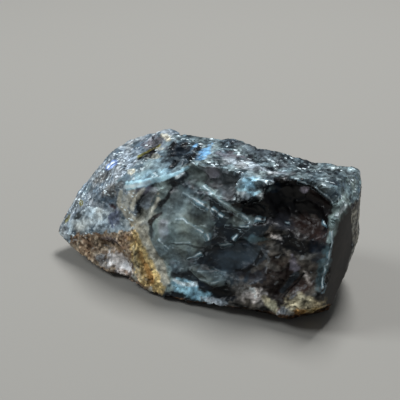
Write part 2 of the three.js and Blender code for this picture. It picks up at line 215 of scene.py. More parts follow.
# Patches over the skins: middle, turn, half length, half width, colour, strength, grain, softness
PATCHES = rows_on(
    "front",
    dome_light=((-2.1, -6.7, 11), -10, 3.3, 2.3, "sage", 0.75, 0.15, 0.3),
    dome_glow=((-2, -6.8, 10.3), 10, 1.5, 0.9, "sage", 0.7, 0.12, 0.5),
    dome_top=((-2.4, -4.8, 15), 60, 2.6, 1.8, "mist", 0.6, 0.2, 0.3),
    dome_teal=((-4.5, -5.7, 12.8), 80, 1.2, 0.7, "mist", 0.7, 0.15, 0.3),
    dome_lilac=((-4.5, -6.7, 11.2), 85, 1.3, 0.7, "lilac", 0.45, 0.15, 0.4),
    dome_plum=((-1.6, -7.1, 6.1), 10, 2, 0.6, "plum", 0.5, 0.3, 0.3),
    dome_side=((2.2, -5.9, 10), 80, 1.1, 0.35, "mist", 0.6, 0.2, 0.3),
    slate=((5.2, -5.8, 9), 20, 4.4, 3.4, "slate", 0.7, 0.05, 0.3),
    slate_glow=((6.9, -5.4, 8.8), 40, 3.2, 1.8, "steel", 0.45, 0.05, 0.4),
    teal_glow=((9.1, -5.5, 11.9), 8, 1.6, 0.45, "teal", 0.7, 0.1, 0.3),
    long_haze=((5, -4.3, 15.3), -32, 3, 0.4, "mist", 0.5, 0.4, 0.4),
    arc_haze=((6.6, -4.6, 13.8), 10, 1.6, 0.6, "sage", 0.45, 0.3, 0.3),
    front_low=((12.3, -6.8, 6.3), 20, 4.6, 2.6, "coffee", 0.5, 0.45, 0.4),
    front_black=((14, -5, 12.1), -4, 3, 1.1, "ink", 1, 0.03, 0.25),
    front_grey=((12.4, -3.1, 14.1), -10, 1.5, 0.9, "ash", 0.6, 0.1, 0.3),
    front_navy=((18.2, -5.3, 12.8), 80, 2.1, 1, "navy", 0.6, 0.1, 0.25),
    front_teal=((18.9, -5.7, 10.2), 85, 2.9, 0.55, "teal", 0.6, 0.25, 0.3),
    # Ink in the dark hollow and its arm: painted shade
    arm=((8.8, -3, 16.3), -4, 3.4, 1.4, "ink", 0.97, 0.03, 0.2),
    hollow_black=((12.6, -1.5, 17.6), -60, 3.2, 1.9, "ink", 0.95, 0.03, 0.25),
    hollow_brown=((16.7, -1.8, 18.4), -20, 1.9, 1, "umber", 0.6, 0.2, 0.4),
    hollow_specks=((16.6, -2.5, 15), -25, 1.1, 0.25, "taupe", 0.7, 0.2, 0.3),
    hollow_foot=((16.2, -2.9, 14.1), -12, 2.6, 1.1, "coffee", 0.8, 0.2, 0.3),
    hollow_spot=((14.4, -1.1, 18.8), 20, 0.6, 0.5, "lilac", 0.95, 0.6, 0.15),
    knob=((7.4, -3.2, 19.2), 8, 2.1, 1.4, "mist", 0.95, 0.6, 0.2),
    knob_light=((7, -3.5, 19.3), 35, 1.4, 0.7, "sky", 0.45, 0.8, 0.3),
    knob_navy=((10, -2.4, 18.8), -10, 1.3, 0.8, "navy", 0.95, 0.1, 0.2),
    knob_spot=((9.9, -2.3, 18.4), 20, 0.45, 0.3, "mist", 0.9, 0.6, 0.3),
    recess=((3.8, -2, 18.2), -10, 2.4, 1.4, "smoke", 0.7, 0.15, 0.3),
    recess_light=((-1, -2.1, 18.6), 0, 2, 1.2, "sage", 0.6, 0.15, 0.4),
    recess_bump=((0.9, -1.6, 18.8), 0, 1, 0.8, "lilac", 0.6, 0.2, 0.3),
    white_chip=((11.6, -4.6, 12.4), -25, 0.7, 0.25, "rose", 0.95, 0.9, 0.6),
    lilac=((15, -6.1, 9.6), -70, 0.9, 0.6, "lilac", 0.75, 0.5, 0.3),
    brown_plate=((16.3, -6.7, 6.5), 55, 2, 1, "coffee", 0.85, 0.05, 0.15),
    pink_crumbs=((16.9, -6.3, 8.3), -60, 1, 0.3, "rose", 0.5, 0.7, 0.4),
    whitish=((9.9, -7.5, 3.8), 10, 1.8, 0.75, "rose", 0.95, 0.9, 0.5),
    # A painted highlight on the whitish crust
    whitish_core=((9.7, -7.4, 4.2), -40, 0.7, 0.35, "frost", 0.8, 0.8, 0.4),
    grey_beige=((7.8, -7.6, 4.3), 0, 1.5, 1.3, "taupe", 0.6, 0.7, 0.3),
    low_dark=((2, -8.6, 4), -10, 1.4, 0.6, "navy", 0.8, 0.1, 0.25),
    low_gap=((4.9, -8.2, 3.9), -5, 1.5, 0.85, "ink", 0.98, 0.03, 0.15),
    low_mist=((0.8, -8.4, 2.3), -8, 2.9, 0.9, "sky", 0.75, 0.8, 0.3),
    low_sky=((-0.9, -8.2, 3), -4, 2.3, 0.8, "sky", 0.8, 0.8, 0.3),
    low_edge=((4.1, -8.4, 1.7), 0, 1.7, 0.5, "silver", 0.9, 0.9, 0.3),
    cream_low=((12.5, -7.7, 3.2), -35, 1.2, 0.65, "cream", 0.85, 0.7, 0.2),
    brown_low=((14.3, -7.8, 4), -30, 1, 0.6, "umber", 0.8, 0.4, 0.3),
    grey_foot=((14.9, -8.3, 2.8), 10, 1.2, 0.6, "silver", 0.6, 0.9, 0.3),
    cream_right=((17.3, -7.5, 4.1), 6, 2.5, 1.4, "cream", 0.85, 0.9, 0.25),
    tan_right=((18.1, -6.8, 2.8), 10, 1.6, 0.9, "ochre", 0.6, 0.9, 0.3),
    amber_right=((16.6, -7.5, 2.8), 60, 1, 0.6, "amber", 0.95, 0.8, 0.2),
    ridge=((-11, -4.6, 13.4), 60, 1.5, 1.1, "bone", 0.6, 0.3, 0.3),
    ridge_plum=((-8.6, -4.3, 15.6), 25, 1.2, 0.5, "lilac", 0.6, 0.2, 0.3),
    slit=((-8.9, -4.9, 13.6), 58, 1.5, 0.28, "slate", 0.5, 0.1, 0.2),
    ridge_foot=((-3.9, -7.7, 4.4), 110, 2.6, 0.9, "sage", 0.9, 0.5, 0.3),
) + rows_on(
    "rind",
    ochre=((-8, -7, 5.4), 112, 4.3, 1.7, "ochre", 0.9, 1, 0.25),
    sienna=((-10.5, -6.3, 7.7), 15, 1.4, 0.7, "sienna", 0.7, 1, 0.3),
    plum_rind=((-14.2, -5.3, 6), 10, 1.7, 0.7, "plum", 0.7, 1, 0.3),
    rose=((-12.2, -5.9, 2.3), -22, 2.6, 1.25, "rose", 1, 0.4, 0.3),
    grey_crumbs=((-15.4, -6, 2), -20, 1.4, 0.5, "silver", 0.6, 1, 0.3),
    bark=((-18.6, -5, 4.4), -20, 2.4, 0.6, "bark", 0.8, 1, 0.3),
    # Dark bark along the foot of the rind: partly the rind, partly painted shade at its foot
    tan_rind=((-9, -8.2, 1.2), -10, 3.4, 0.5, "bark", 0.9, 1, 0.3),
    cheek_light=((-17.4, -4.1, 8.3), 10, 1.5, 0.8, "frost", 0.9, 0.4, 0.25),
    cheek_left=((-20, -4, 6.5), 25, 1.8, 0.8, "frost", 0.55, 0.4, 0.3),
    violet=((-13.6, -4.9, 9.6), 70, 1.6, 1, "violet", 0.75, 0.4, 0.2),
    cheek_green=((-21, -3.2, 7.6), 35, 0.85, 0.5, "smoke", 0.9, 0.1, 0.15),
    tip_olive=((-23.6, -2.6, 5.8), 60, 0.8, 0.5, "olive", 0.85, 0.8, 0.25),
    tip_pale=((-23.5, -3.3, 4.3), 60, 1.2, 0.9, "silver", 0.75, 0.7, 0.3),
) + rows_on(
    "shoulder",
    edge_olive=((-21.3, -1.4, 9), 0, 0.7, 0.35, "olive", 0.9, 0.7, 0.2),
    edge_teal=((-20.9, 0.2, 10.6), 60, 1.1, 0.6, "mist", 0.6, 0.3, 0.25),
    shoulder_tan=((-14.4, -3.1, 13.6), 60, 1.8, 0.9, "taupe", 0.7, 0.9, 0.4),
    shoulder_brown=((-17.6, 0.2, 13.6), 40, 2.2, 0.9, "taupe", 0.5, 0.8, 0.4),
) + rows_on(
    "rind",
    shoulder_red=((-14, -4.1, 11.5), 0, 0.7, 0.35, "maroon", 0.85, 0.4, 0.25),
) + rows_on(
    "shoulder",
    shoulder_blue=((-16.9, 1.2, 15.3), 50, 1.3, 0.75, "blue", 0.95, 0.3, 0.15),
) + rows_on(
    "leftUpper",
    bump=((-14, -1.5, 15.9), 40, 1.4, 1.1, "silver", 0.8, 1, 0.2),
    upper_glitter=((-13.4, 1.2, 17.2), 10, 2.4, 1.6, "silver", 0.4, 1, 0.4),
    cream_spot=((-11.9, -1.7, 16.6), -10, 0.85, 0.6, "bone", 0.9, 0.8, 0.25),
    peak=((-10.4, 3.4, 19), 20, 2.8, 1.2, "plum", 0.65, 0.9, 0.4),
    peak_cream=((-8.6, 4.2, 20), 10, 1.2, 0.35, "bone", 0.85, 0.7, 0.3),
    facet=((-8.2, -1.7, 18), 10, 2.6, 1.6, "mist", 0.75, 0.35, 0.3),
) + rows_on(
    "top",
    top_sky=((-1.5, 1.6, 20.2), 96, 1.9, 0.65, "azure", 0.9, 0.25, 0.25),
    top_sky_left=((-3.4, 2.6, 20.3), 100, 1, 0.4, "azure", 0.95, 0.2, 0.2),
    pits=((-4.8, 0.8, 20), 10, 3, 2.5, "slate", 0.85, 0.35, 0.2),
    pit_left=((-6.8, 2.2, 20.2), 95, 1, 0.45, "ink", 0.97, 0.05, 0.15),
    pit_middle=((-6, 0.2, 19.6), 0, 0.9, 0.35, "ink", 0.9, 0.1, 0.2),
    pit_round=((-5.1, 2.7, 20.3), 0, 0.5, 0.45, "ink", 0.97, 0.05, 0.12),
    pit_low=((-4.9, -1.8, 19.2), 80, 1.1, 0.5, "slate", 0.95, 0.05, 0.15),
    pit_right=((-2.7, -0.4, 20), 102, 1.7, 0.35, "ink", 0.95, 0.05, 0.15),
    pit_far_right=((-2.7, 2.9, 20.4), 100, 0.9, 0.28, "ink", 0.9, 0.05, 0.2),
    pit_grey=((-4, 1.2, 19.9), 20, 0.7, 0.5, "steel", 0.8, 0.1, 0.15),
    pit_grey_low=((-3.5, -1.3, 19.8), 40, 0.7, 0.6, "steel", 0.9, 0.1, 0.15),
    top_dark=((5, 4.6, 20.4), 0, 7, 0.9, "ash", 0.45, 0.7, 0.4),
    top_plum=((2.4, 1.8, 20.4), 10, 1.9, 0.9, "plum", 0.6, 0.7, 0.4),
    top_light=((6.5, 0.2, 20), 5, 4.6, 1, "silver", 0.75, 0.9, 0.3),
) + rows_on(
    "front",
    corner_frost=((19.7, -2.4, 17.6), 70, 1.9, 0.9, "sage", 0.7, 0.7, 0.3),
    ridge_green=((-5.8, -4.2, 16.6), 20, 1.4, 0.7, "sage", 0.7, 0.4, 0.3),
    slit_floor=((-8, -5.4, 11.5), 60, 1.6, 1.1, "bone", 0.7, 0.3, 0.3),
    dome_low=((-3.2, -7.2, 7.2), -20, 3.2, 1.8, "mist", 0.85, 0.35, 0.4),
    lens=((3.5, -7.5, 5.5), 3, 2.4, 0.6, "mist", 0.5, 0.3, 0.3),
    foot_crust=((-5, -8.2, 2.6), 105, 1.9, 1, "ochre", 1, 1, 0.3),
) + rows_on(
    "back",
    back_slate=((3, 11.1, 8.5), 12, 5.5, 2, "slate", 0.6, 0.3, 0.4),
    back_rust=((10, 11.9, 4.5), -8, 5, 1.4, "sienna", 0.55, 0.9, 0.5),
    back_pale=((-3, 10.4, 11.5), 15, 4.5, 1, "mist", 0.5, 0.5, 0.4),
    back_brown=((14, 12, 9.5), 70, 3, 1.5, "coffee", 0.5, 0.5, 0.4),
) + rows_on(
    "backUpper",
    back_high_teal=((6, 9.4, 16), 5, 4, 1.4, "teal", 0.6, 0.4, 0.4),
    back_high_plum=((-10, 8.7, 17), 0, 3, 1.2, "plum", 0.6, 0.7, 0.4),
) + rows_on(
    "rightBack",
    back_edge=((17, 9.8, 9), 80, 3.5, 1.2, "bark", 0.6, 0.8, 0.4),
) + rows_on(
    "leftBack",
    left_back_tan=((-19.5, 6.5, 9.5), 50, 2.6, 1.3, "tan", 0.4, 0.8, 0.4),
) + rows_on(
    "rightStrip",
    strip_ochre=((21.9, 4, 7), 80, 3, 1, "ochre", 0.35, 0.8, 0.5),
)

# Strokes over the patches: half width at start and end, colour, strength, grain, then their points
STROKES = rows_on(
    "front",
    # The bevel's strokes are painted reflection: the flat upper-left bevel shows the sky as pale blue and
    # white colour
    bevel_blue=(0.5, 0.5, "sky", 0.2, 0.4, (-10.4, -3.1, 16.7), (-8.4, -3.2, 17.5), (-5.3, -3.4, 18.4)),
    bevel_wide=(0.6, 0.35, "ice", 0.95, 0.1, (-11.4, -4, 15.4), (-8, -4, 16.7)),
    bevel_end=(0.42, 0.16, "ice", 1, 0, (-8.4, -4, 16.55), (-5.4, -3.7, 17.8), (-2.3, -2.5, 19.4)),
    bevel=(0.3, 0.25, "frost", 0.7, 0.1,
        (-12, -4, 15.1), (-11, -4, 15.5), (-9.3, -4.2, 16.15), (-7.6, -4, 16.8)),
    crystals=(0.3, 0.2, "frost", 0.85, 0.8, (-3.6, -3.5, 18.2), (-2.8, -3.2, 18.7)),
    long_band=(0.3, 0.22, "sage", 0.55, 0.3,
        (-0.6, -3, 17.6), (1.6, -3.8, 16.9), (4.8, -4.4, 15.5), (7.4, -4.2, 13.9)),
    slit_thin=(0.2, 0.2, "smoke", 0.5, 0.1, (-10.7, -4.8, 13), (-10.1, -4.6, 14.4), (-9.3, -4.5, 15.6)),
    ridge_left=(0.45, 0.3, "bone", 0.7, 0.3,
        (-10.4, -5.2, 12.3), (-9.9, -4.9, 13.6), (-9.2, -4.7, 14.9), (-8.6, -4.4, 15.8)),
    ridge_pale=(0.32, 0.28, "bone", 0.8, 0.4, (-7.3, -5, 12.5), (-6.6, -4.9, 13.7), (-6.1, -4.6, 14.7)),
    ridge_mid=(0.5, 0.5, "silver", 0.9, 0.3, (-8.3, -4.5, 13), (-7.7, -4.2, 14.4), (-7, -4.2, 15.7)),
    split=(0.45, 0.25, "ink", 0.95, 0.05, (-5.8, -4.9, 14), (-4.9, -4.6, 14.9), (-4.2, -4, 16.2)),
    split_wide=(0.25, 0.45, "slate", 0.85, 0.05, (-4.2, -4, 16.2), (-3.4, -3.7, 17.5), (-2.5, -3.1, 18.5)),
    dome_gap=(0.5, 0.2, "umber", 0.95, 0.1, (-7, -5.9, 11.1), (-6.1, -5.7, 12.3), (-5.4, -5.6, 12.9)),
    dome_gap_low=(0.5, 0.3, "umber", 0.4, 0.1, (-6.9, -6, 11.1), (-6.7, -6.5, 9.4)),
    ridge_bone=(0.3, 0.85, "bone", 0.85, 0.3,
        (-12.5, -4, 14.3), (-12.9, -4.3, 12.3), (-11.4, -5, 11.5), (-8, -6.3, 9.8)),
    rind_bone=(0.8, 0.7, "bone", 0.95, 0.6,
        (-8, -6.3, 9.8), (-7.2, -6.7, 7.9), (-5, -7.3, 5.2), (-3.7, -8.1, 3)),
) + rows_on(
    "rind",
    rind_amber=(0.35, 0.6, "amber", 0.75, 1, (-8.3, -7.2, 6.3), (-7, -7.6, 4.1), (-5.9, -8, 2.4)),
    rind_cream=(0.3, 0.4, "cream", 0.6, 1, (-9.6, -6.6, 6.6), (-8.8, -7.3, 4.4), (-7.8, -8, 2.2)),
) + rows_on(
    "leftUpper",
    groove_rim=(0.5, 0.35, "olive", 0.95, 0.9, (-12, 1.5, 17.8), (-11, 2.1, 18.4), (-9.4, 3, 19.3)),
    groove=(0.4, 0.5, "ink", 1, 0.1, (-11.7, 0.9, 17.6), (-10.8, 1.4, 18.1), (-9.7, 2, 18.8)),
    groove_end=(0.3, 0.3, "bone", 0.5, 0.9, (-9.4, 2.3, 19.1), (-8.4, 2, 19.3)),
) + rows_on(
    "front",
    black_edge=(0.4, 0.2, "ink", 0.9, 0.05,
        (10.3, -5.7, 10.4), (9.5, -6.2, 8.3), (8.2, -6.4, 6.9), (6.6, -6.6, 6.6)),
    olive_band=(0.3, 0.4, "taupe", 0.55, 0.5,
        (9, -6.4, 7), (9.9, -6.4, 7.8), (10.8, -6.2, 8.6), (12.8, -6.4, 8.5)),
    prism=(0.45, 0.35, "steel", 0.5, 0.1, (15.5, -6.3, 8.3), (14.5, -6.1, 6.5), (13.6, -6.6, 4.9)),
    low_bevel=(0.25, 0.4, "frost", 0.8, 0.8,
        (-2.4, -8, 3.4), (-1.4, -8.1, 3.2), (-0.1, -8.3, 3.4), (1, -8.5, 3.8)),
    knob_white=(0.16, 0.18, "ice", 0.8, 0.7,
        (5.8, -3.9, 18.3), (6.9, -4.1, 18.6), (8.2, -4.3, 18.3), (8.7, -4, 18.6)),
    knob_core=(0.25, 0.2, "ice", 0.6, 0.6, (7, -3.5, 19.8), (8.2, -3, 20.1)),
    knob_side=(0.2, 0.2, "frost", 0.9, 0.4, (9.5, -3, 20), (10.3, -2.7, 19.7)),
    edge_green=(0.5, 0.35, "sage", 0.8, 0.4,
        (19.8, -2.9, 17.2), (19.3, -3.8, 16.6), (19.5, -4.6, 15), (19.3, -5, 13.8)),
    edge_white=(0.2, 0.35, "frost", 0.85, 0.5, (19.5, -3.2, 16.8), (20, -2.4, 17.2), (20.4, -1.4, 17.5)),
) + rows_on(
    "shoulder",
    shoulder_blue=(0.25, 0.15, "frost", 0.85, 0.3, (-17.5, 1.1, 14.9), (-16.4, 1.4, 15.9)),
)

# Veins and a painted rim highlight, pale, and cracks and painted shadow lines, dark: half width at each end,
# strength, then their points
VEINS = rows_on(
    "front",
    upper_thin=(0.1, 0.12, 0.45, (-2.4, -4.3, 16.2), (-1.3, -4.4, 15.9), (-0.4, -4.6, 15.7)),
    upper=(0.22, 0.28, 1, (-0.4, -4.6, 15.7), (0.4, -4.6, 15.4), (1.5, -4.7, 15)),
    upper_tail=(0.22, 0.2, 0.95, (2.4, -4.8, 14.9), (2.9, -4.8, 14.6)),
    upper_end=(0.2, 0.2, 0.9, (3.4, -4.8, 14.3), (3.8, -4.8, 14.1)),
    middle_thin=(0.1, 0.14, 0.8,
        (-2.8, -6.2, 12.9), (-1.6, -6.1, 13.1), (-1.1, -6.2, 12.7), (-0.2, -6.1, 12.2)),
    middle=(0.2, 0.2, 1, (-0.2, -6.1, 12.1), (1.2, -5.8, 11.4)),
    middle_end=(0.3, 0.25, 1, (2, -5.9, 11.1), (2.2, -5.9, 10.5)),
    long=(0.13, 0.14, 0.6, (0.2, -3.3, 17.4), (2.4, -4.1, 16.4), (4.8, -4.4, 15.6), (7.6, -4.2, 13.8)),
    long_end=(0.16, 0.12, 0.7, (6.6, -4.2, 14.4), (7.8, -4.3, 13.7)),
    level=(0.12, 0.12, 0.7, (-2.6, -7, 9.4), (-0.5, -6.4, 9.5)),
    dome_spot=(0.22, 0.18, 0.8, (-4.9, -7.5, 9.6), (-4.4, -7.5, 9.3)),
    dome_spot_low=(0.16, 0.16, 0.8, (-4, -7.5, 8.8), (-3.5, -7.4, 8.4)),
    arc=(0.08, 0.12, 0.55, (4.4, -5.2, 13), (5.6, -5.1, 13.2), (6.7, -5, 13.1), (7.8, -4.8, 13.4)),
    dash=(0.2, 0.12, 1, (5.9, -5.6, 11.2), (6.7, -5.2, 12.5)),
    dash_low=(0.15, 0.25, 0.6, (3.7, -5.5, 9.6), (5.2, -5.7, 10.4)),
    low_white=(0.12, 0.2, 0.95, (0.2, -6.8, 7.5), (1.2, -6.6, 8.3)),
    low_thin=(0.08, 0.1, 0.5, (-0.8, -7, 7), (0.2, -6.8, 7.5)),
    lens_top=(0.14, 0.14, 0.22, (1.4, -7.5, 5.8), (3.6, -6.8, 6.1), (5.3, -6.8, 6)),
    lens_foot=(0.16, 0.12, 0.4, (1.6, -8.4, 4.8), (3.7, -8.4, 5.1), (5.5, -7.4, 5.4)),
    white_spots=(0.22, 0.2, 0.9, (8.5, -3.9, 14.1), (9.8, -3.8, 14.4)),
    bar=(0.12, 0.12, 0.7, (12.5, -3.4, 14.2), (13.1, -3, 14.1)),
    # A painted highlight along the lit upper rim of the dark hollow
    hollow_rim=(0.1, 0.12, 0.5, (13.4, -1.5, 20.1), (16.3, -2, 19.8), (18.3, -2.6, 19.1), (18.9, -2.7, 18.2)),
) + rows_on(
    "back",
    back_long=(0.12, 0.16, 0.7, (-7, 10.1, 10.2), (-2, 10.6, 9), (3.5, 11.1, 9.6), (7, 11.4, 8.8)),
    back_short=(0.2, 0.14, 0.9, (6, 11.3, 11.8), (8.2, 11.4, 12.6)),
)
CRACKS = rows_on(
    "front",
    # A painted shadow line under the level vein; upper_shadow and dash_shadow are painted shadows too
    dome_line=(0.12, 0.2, 0.6, (-3.2, -7, 9.1), (-0.4, -6.6, 9.15), (1.6, -6, 9)),
    upper_shadow=(0.15, 0.15, 0.5, (-0.2, -4.6, 15.2), (1.6, -4.7, 14.6)),
    dash_shadow=(0.15, 0.25, 0.6, (1.6, -6.4, 8.2), (2.1, -6.2, 9.3)),
    diagonal=(0.14, 0.16, 0.9, (14.3, -7.2, 4.6), (15.2, -6.1, 6.1), (16.5, -6.3, 8.6)),
) + rows_on(
    "leftUpper",
    bump_line=(0.12, 0.12, 0.8, (-15.6, 0.2, 15.8), (-14.5, 0.2, 16.6), (-13.2, -0.8, 16.9)),
) + rows_on(
    "shoulder",
    blue_line=(0.12, 0.12, 0.85, (-17.6, 0.8, 14.5), (-16.6, 1, 15.3), (-15.9, 1.2, 16.2)),
) + rows_on(
    "back",
    back=(0.2, 0.12, 0.8, (11, 11.8, 12.6), (9, 11.7, 8), (9.6, 11.9, 3)),
)

# ---- forms as distances

UP = np.array([0.0, 0.0, 1.0])
GRADIENTS = np.array([g for g in np.ndindex(3, 3, 3) if sum(k == 1 for k in g) == 1]) - 1.0


def heading(azimuth, rise):
    """Unit vector from an azimuth (from +X towards +Y) and a rise above the horizontal, in degrees."""
    a, e = radians(azimuth), radians(rise)
    return np.array([cos(a) * cos(e), sin(a) * cos(e), sin(e)])


def outward(face):
    """The outward normal of a face of the block."""
    return heading(*FACES[face][:2])


def plane_rows(planes):
    """Normals and offsets of planes given by azimuth, rise and distance from CENTRE."""
    normals = np.array([heading(azimuth, rise) for azimuth, rise, _ in planes])
    return normals, np.array([distance for _, _, distance in planes]) + normals @ CENTRE


def oval_frame(oval, side):
    """Centre, axes and radii of the ellipsoid that meets its face in the oval. Its middle stands off the
    face outwards where side is 1, inwards where it is -1, and not at all where it is 0."""
    face, middle, turn, half_length, half_width, deep = oval
    out = outward(face)
    level = np.cross(UP, out)
    level /= np.linalg.norm(level)
    across = np.cross(out, level)
    along = level * cos(radians(turn)) + across * sin(radians(turn))
    thick = deep / (1 - OFFSET)
    spread = sqrt(1 - OFFSET ** 2)
    centre = np.array(middle) + out * side * OFFSET * thick
    axes = np.array([along, np.cross(out, along), out])
    return centre, axes, (half_length / spread, half_width / spread, thick)


def oval_radius(points, oval):
    """How far each point is from the middle of the oval's ellipsoid, in its own radii."""
    centre, axes, reach = oval
    return np.linalg.norm((points - centre) @ (axes.T / reach), axis=1)


def oval_form(points, oval):
    """Distance outside the oval's ellipsoid, or FAR for points that are well away from it."""
    centre, _, reach = oval
    distance = np.full(len(points), FAR)
    close = (abs(points - centre) < max(reach) + CLOSE_BY).all(axis=1)
    distance[close] = (oval_radius(points[close], oval) - 1) * min(reach)
    return distance


def wave(p, wavelength, phase):
    """A slow wave in no one direction, from -1 to 1."""
    k = 2 * pi / wavelength
    x, y, z = p.T
    return (
        np.sin(k * (0.8 * x + 0.5 * y - 0.3 * z) + phase)
        + np.sin(k * (-0.6 * x + 0.7 * y + 0.9 * z) + 1.7 * phase)
        + np.sin(k * (0.5 * x - 1.1 * y + 0.8 * z) + 2.9 * phase)
    ) / 3


def hashed(cells, seed):
    """A fixed pseudo-random number from 0 to 1 for each row of three whole numbers."""
    x, y, z = cells.astype(np.int64).T
    h = (x * 374761393 + y * 668265263 + z * 1440662683 + seed * 2246822519) & 0xFFFFFFFF
    h = ((h ^ (h >> 15)) * 2654435761) & 0xFFFFFFFF
    h = ((h ^ (h >> 13)) * 3266489917) & 0xFFFFFFFF
    return (h ^ (h >> 16)) / 2 ** 32


def rough(points, size, seed):
    """Gradient noise with lumps of about that size in millimetres, from about -1 to 1."""
    scaled = points / size
    cell = np.floor(scaled)
    within = scaled - cell
    fade = within ** 3 * (within * (within * 6 - 15) + 10)
    total = np.zeros(len(points))
    for corner in np.ndindex(2, 2, 2):
        slope = GRADIENTS[(hashed(cell + corner, seed) * len(GRADIENTS)).astype(int)]
        weight = np.where(corner, fade, 1 - fade).prod(axis=1)
        total += weight * (slope * (within - corner)).sum(axis=1)
    return total


def rough_shift(points, size, seed):
    """That noise along X, Y and Z."""
    return np.column_stack([rough(points, size, seed + k) for k in range(3)])


def cellular(points, size, seed):
    """Cells around scattered seeds. For each point: the distance to its nearest seed and to the next one, in
    cells, the way from the nearest in millimetres, and four numbers of that cell's own, from 0 to 1."""
    scaled = points / size
    base = np.floor(scaled)
    first = np.full(len(points), 9.0)
    second = np.full(len(points), 9.0)
    nearest = base.copy()
    from_seed = np.zeros_like(points)
    for shift in np.ndindex(3, 3, 3):
        cell = base + shift - 1
        away = scaled - cell - np.column_stack([hashed(cell, seed + k) for k in range(3)])
        distance = np.linalg.norm(away, axis=1)
        closer = distance < first
        second = np.where(closer, first, np.minimum(second, distance))
        first = np.where(closer, distance, first)
        nearest[closer] = cell[closer]
        from_seed[closer] = away[closer]
    return first, second, from_seed * size, np.array([hashed(nearest, seed + 3 + k) for k in range(4)])


face_normals, face_offsets = plane_rows(FACES.values())
ledge_planes = [plane_rows(planes) for planes in LEDGES.values()]
hollows = {name: oval_frame(oval, 1) for name, oval in {**HOLLOWS, **SMALL_HOLLOWS}.items()}
lumps = {name: oval_frame(oval, -1) for name, oval in {**LUMPS, **SMALL_LUMPS}.items()}
SURFACES = [*FACES, *LEDGES, *hollows, *lumps, "bottom"]


def smooth_step(low, high, value):
    """0 up to low, rising smoothly to 1 at high."""
    share = np.clip((value - low) / (high - low), 0, 1)
    return share * share * (3 - 2 * share)


def carved(p):
    """Of each point: how far outside the stone it lies, the number in SURFACES of its nearest surface, and
    how much nearer that is than the next one."""
    swell = SWELL * wave(p, SWELL_LENGTH, 0)
    q = p + DRIFT * np.column_stack([wave(p, DRIFT_LENGTH, phase) for phase in (1, 2, 3)])
    for size, height in RAGGED:
        q += height * rough_shift(p, size, 11)
    distances = [p @ face_normals.T - face_offsets + swell[:, None]]
    distances += [(q @ n.T - d).min(axis=1)[:, None] + swell[:, None] for n, d in ledge_planes]
    distances += [(swell - oval_form(q, hollow))[:, None] for hollow in hollows.values()]
    distances = np.hstack(distances)
    surface = distances.argmax(axis=1)
    top_two = np.partition(distances, -2, axis=1)[:, -2:]
    outside = top_two[:, 1]
    lead = outside - top_two[:, 0]
    outside = outside + np.maximum(ROUND - lead, 0) ** 2 / (4 * ROUND)
    for number, lump in enumerate(lumps.values(), distances.shape[1]):
        distance = oval_form(q, lump) + swell
        gap = outside - distance
        surface[gap > 0] = number
        lead = np.where(gap > 0, gap, np.minimum(lead, -gap))
        outside = np.minimum(outside, distance) - np.maximum(ROUND - abs(gap), 0) ** 2 / (4 * ROUND)
    below = -p[:, 2] > outside
    outside[below] = -p[below, 2]
    surface[below] = len(SURFACES) - 1
    return outside, surface, lead


# ---- the net on the stone


def geodesic_ball(divisions):
    """Directions and triangles of a ball of 20 * divisions ** 2 triangles."""
    seed = bmesh.new()
    bmesh.ops.create_icosphere(seed, subdivisions=1, radius=1)
    steps = [(i, j) for i in range(divisions + 1) for j in range(divisions + 1 - i)]
    number = {step: k for k, step in enumerate(steps)}
    weights = np.array([(divisions - i - j, i, j) for i, j in steps]) / divisions
    small = []
    for i, j in steps:
        if i + j < divisions:
            small.append((number[i, j], number[i + 1, j], number[i, j + 1]))
        if i + j < divisions - 1:
            small.append((number[i + 1, j], number[i + 1, j + 1], number[i, j + 1]))
    points, triangles = [], []
    for face in seed.faces:
        triangles.append(np.array(small) + len(points) * len(steps))
        points.append(weights @ np.array([v.co for v in face.verts]))
    seed.free()
    points = np.concatenate(points)
    points /= np.linalg.norm(points, axis=1)[:, None]
    _, first, merged = np.unique(np.round(points, 6), axis=0, return_index=True, return_inverse=True)
    return points[first], merged.reshape(-1)[np.concatenate(triangles)]


MARCH_STEP = 1.2
SHORTEST_STEP = 0.05
STEP_SHARE = 0.6
HALVINGS = 8


def strike(directions):
    """Where the ray for each direction leaves the stone."""
    start = SPINE_MIDDLE + SPINE_HALF * directions[:, :1]
    out = directions * (SPINE_FAN, 1, 1)
    out /= np.linalg.norm(out, axis=1)[:, None]
    near = np.zeros(len(out))
    far = np.zeros(len(out))
    active = np.arange(len(out))
    while len(active):
        outside = carved(start[active] + out[active] * far[active, None])[0]
        inside = outside < 0
        active, outside = active[inside], outside[inside]
        near[active] = far[active]
        far[active] += np.clip(-STEP_SHARE * outside, SHORTEST_STEP, MARCH_STEP)
    for _ in range(HALVINGS):
        middle = (near + far) / 2
        inside = carved(start + out * middle[:, None])[0] < 0
        near = np.where(inside, middle, near)
        far = np.where(inside, far, middle)
    return start + out * far[:, None]


def mesh_object(name, points, faces):
    """A new object in the scene with a mesh of those points and faces."""
    mesh = bpy.data.meshes.new(name)
    mesh.from_pydata(points.tolist(), [], faces.tolist())
    made = bpy.data.objects.new(name, mesh)
    bpy.context.scene.collection.objects.link(made)
    return made


def numbers_of(items, field, width, kind=np.float64):
    """One field of all the items, in rows of that width."""
    values = np.empty(len(items) * width, kind)
    items.foreach_get(field, values)
    return values.reshape(-1, width)


def even_net(points, triangles):
    """The same surface with an even net of small quads: its points, its faces and its edges."""
    coarse = mesh_object("coarse_net", points, triangles)
    remesh = coarse.modifiers.new("even", "REMESH")
    remesh.mode = "VOXEL"
    remesh.voxel_size = NET_SIZE
    net = coarse.evaluated_get(bpy.context.evaluated_depsgraph_get()).to_mesh()
    found = (
        numbers_of(net.vertices, "co", 3),
        numbers_of(net.loops, "vertex_index", 1, np.int32).reshape(-1, 4),
        numbers_of(net.edges, "vertices", 2, np.int32),
    )
    bpy.data.objects.remove(coarse)
    return found


